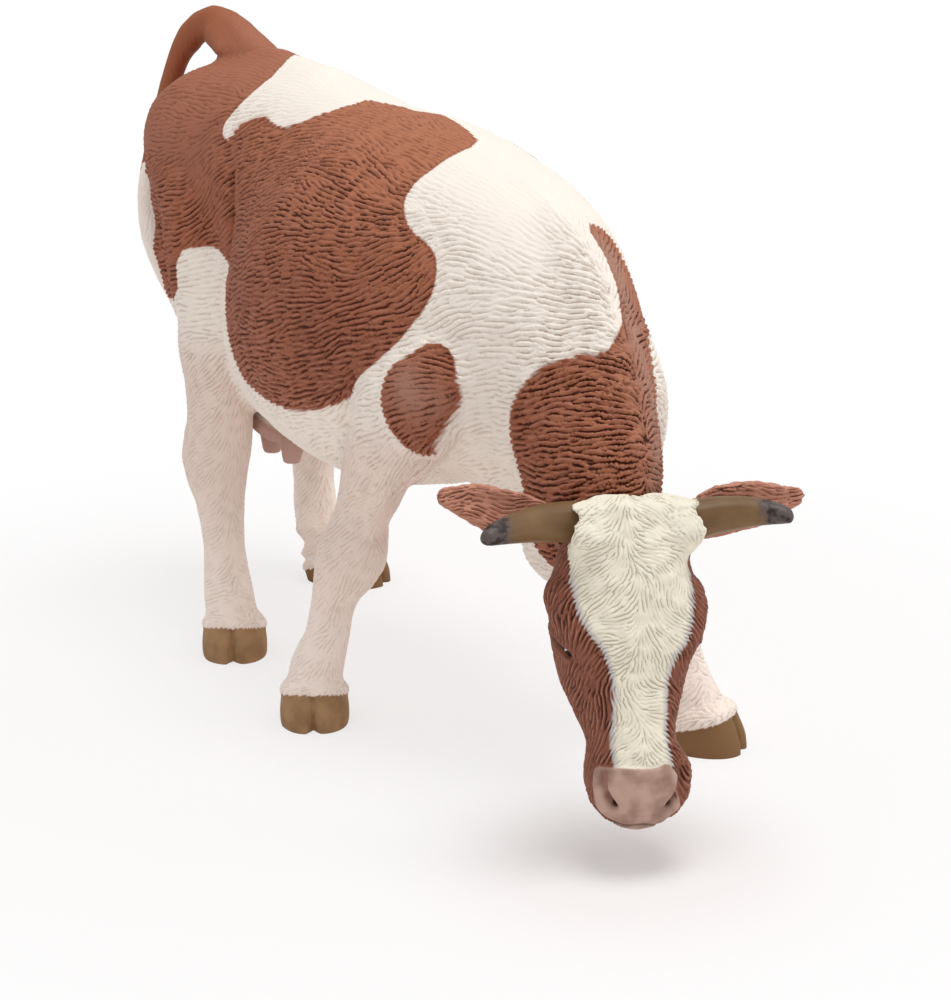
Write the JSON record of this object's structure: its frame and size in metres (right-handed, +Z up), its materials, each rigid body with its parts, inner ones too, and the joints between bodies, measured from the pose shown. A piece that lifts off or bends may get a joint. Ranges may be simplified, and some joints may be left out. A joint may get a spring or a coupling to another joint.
{
  "type": "toy cow figure",
  "caption": "Solid moulded figure of a grazing horned cow in a walking pose, head low and turned, tail arched; a toy and display animal that stands on its hooves.",
  "frame": {"origin": "on the ground under the middle of the figure's outer box", "axes": "+Z up from the ground; the cow faces -Y and its left side is +X"},
  "size_m": [0.049, 0.1264, 0.0845],
  "materials": {
    "hide": "red-brown and white painted coat, matte",
    "face": "red-brown paint with a cream blaze and a pink muzzle, matte",
    "ear": "red-brown paint, matte",
    "horn": "olive-brown paint with dark tips, satin",
    "leg": "off-white paint with a pink tint and olive-brown hooves, matte",
    "udder": "grey-pink paint, matte",
    "tail": "red-brown paint with a white switch, matte"
  },
  "bodies": {
    "root": {"torso": "hide", "head": "face", "ear_right": "ear", "ear_left": "ear", "horn_right": "horn", "horn_left": "horn", "front_leg_right": "leg", "front_leg_left": "leg", "hind_leg_right": "leg", "hind_leg_left": "leg", "udder": "udder", "tail": "tail"}
  },
  "joints": []
}
